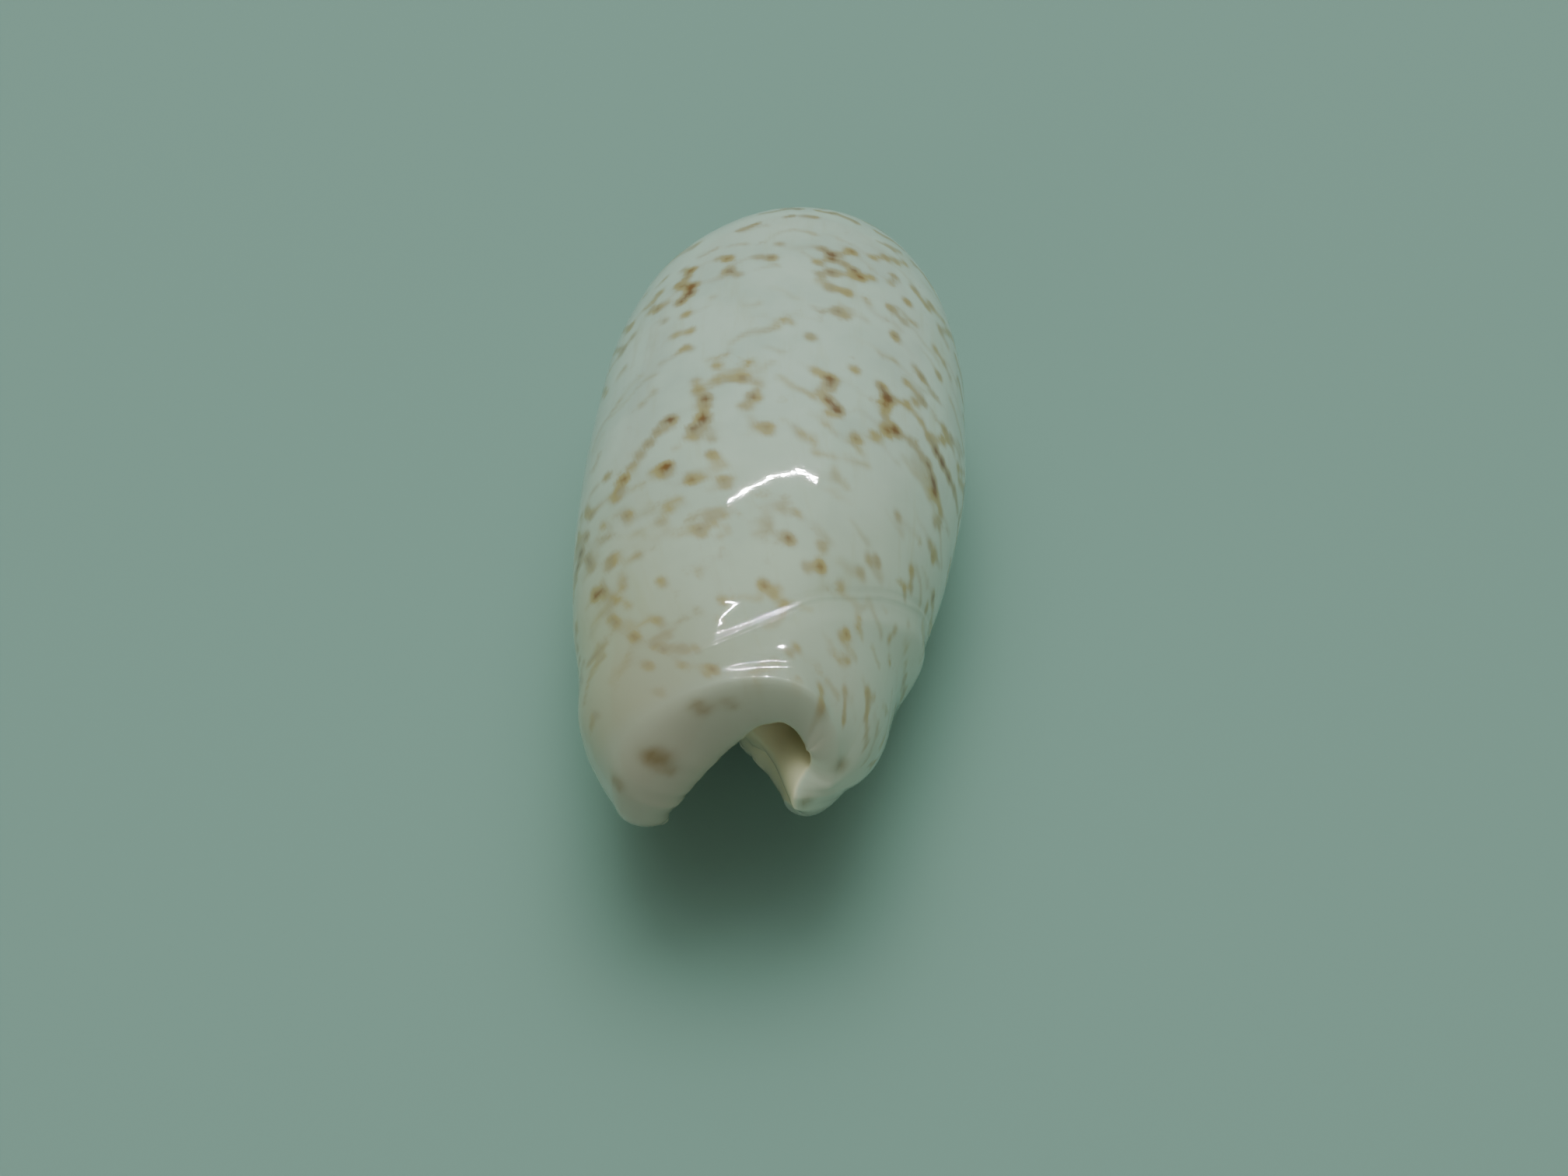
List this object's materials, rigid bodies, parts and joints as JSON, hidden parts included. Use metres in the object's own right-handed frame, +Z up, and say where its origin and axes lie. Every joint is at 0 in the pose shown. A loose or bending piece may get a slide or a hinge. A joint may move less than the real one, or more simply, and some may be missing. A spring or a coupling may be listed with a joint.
{
  "type": "olive sea shell",
  "caption": "Glossy subcylindrical olive shell with a short pointed spire, long narrow opening, front notch and folded columella, lying opening down",
  "frame": {"origin": "middle of the shell's length and width, at the level of the surface it lies on", "axes": "+Y along the coiling axis from the front notch to the apex of the spire, +Z up through the back, outer lip on the -X side"},
  "size_m": [0.0178, 0.0418, 0.0154],
  "materials": {
    "shell": "polished porcelain-like aragonite, cream white with light brown zigzag flecks"
  },
  "bodies": {
    "root": {"shell": "shell"}
  },
  "joints": []
}
